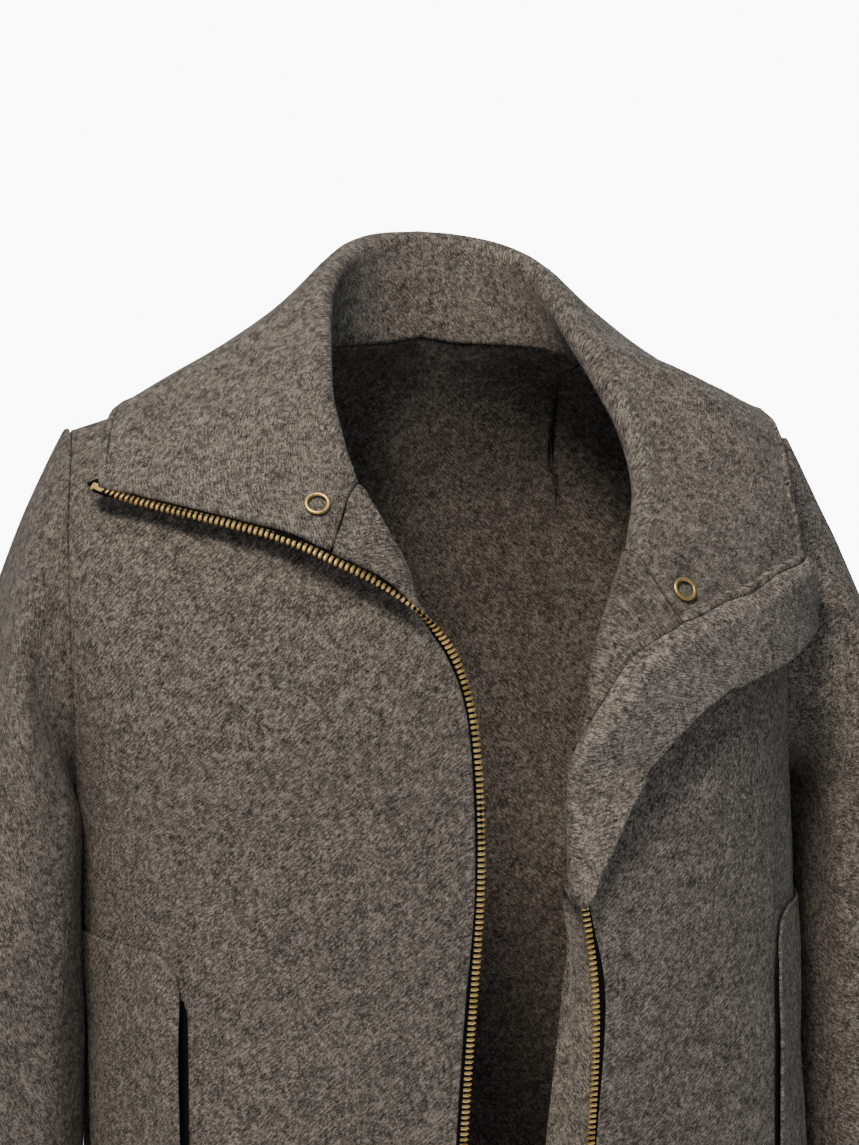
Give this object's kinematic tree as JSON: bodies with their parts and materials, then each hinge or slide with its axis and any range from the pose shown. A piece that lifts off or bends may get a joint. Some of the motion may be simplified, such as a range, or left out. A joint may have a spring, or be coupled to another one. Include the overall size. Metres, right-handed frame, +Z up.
{
  "type": "stand-collar wool jacket",
  "caption": "Stand-collar wool jacket worn open, its high collar turned back, with a metal front zip, a folded zip guard, ring snaps and side patch pockets.",
  "frame": {"origin": "middle of the neck base, between the two side neck points, where the wearer's shoulders carry the jacket", "axes": "+Z up; the front faces -Y; the wearer's right side is -X"},
  "size_m": [0.605, 0.2734, 0.6952],
  "materials": {
    "wool": "thick grey-brown melange wool twill with a brushed nap",
    "wool_facing": "the same wool, seen from its lighter side",
    "tape": "black woven zip tape",
    "brass": "pale gold plated metal, lightly worn"
  },
  "bodies": {
    "jacket": {"back": "wool", "front_right": "wool", "front_left": "wool", "sleeve_right": "wool", "sleeve_left": "wool", "collar_outer": "wool", "pocket_right": "wool", "pocket_left": "wool", "collar_inner": "wool_facing", "facing_right": "wool_facing", "facing_left": "wool_facing", "zip_guard": "wool_facing", "zip_tape_right": "tape", "zip_tape_left": "tape", "zip_chain_right": "brass", "zip_chain_left": "brass", "top_stop_right": "brass", "top_stop_left": "brass", "insertion_pin": "brass", "retainer_box": "brass", "slider": "brass", "snap_ring_right": "brass", "snap_ring_left": "brass"},
    "pull_tab": {"pull_tab": "brass"}
  },
  "joints": [
    {"name": "pull_tab_hinge", "type": "hinge", "parent": "jacket", "child": "pull_tab", "pos_m": [-0.03042, -0.12565, -0.6035], "axis": [-1, 0, 0], "range_deg": [0, 150]}
  ]
}
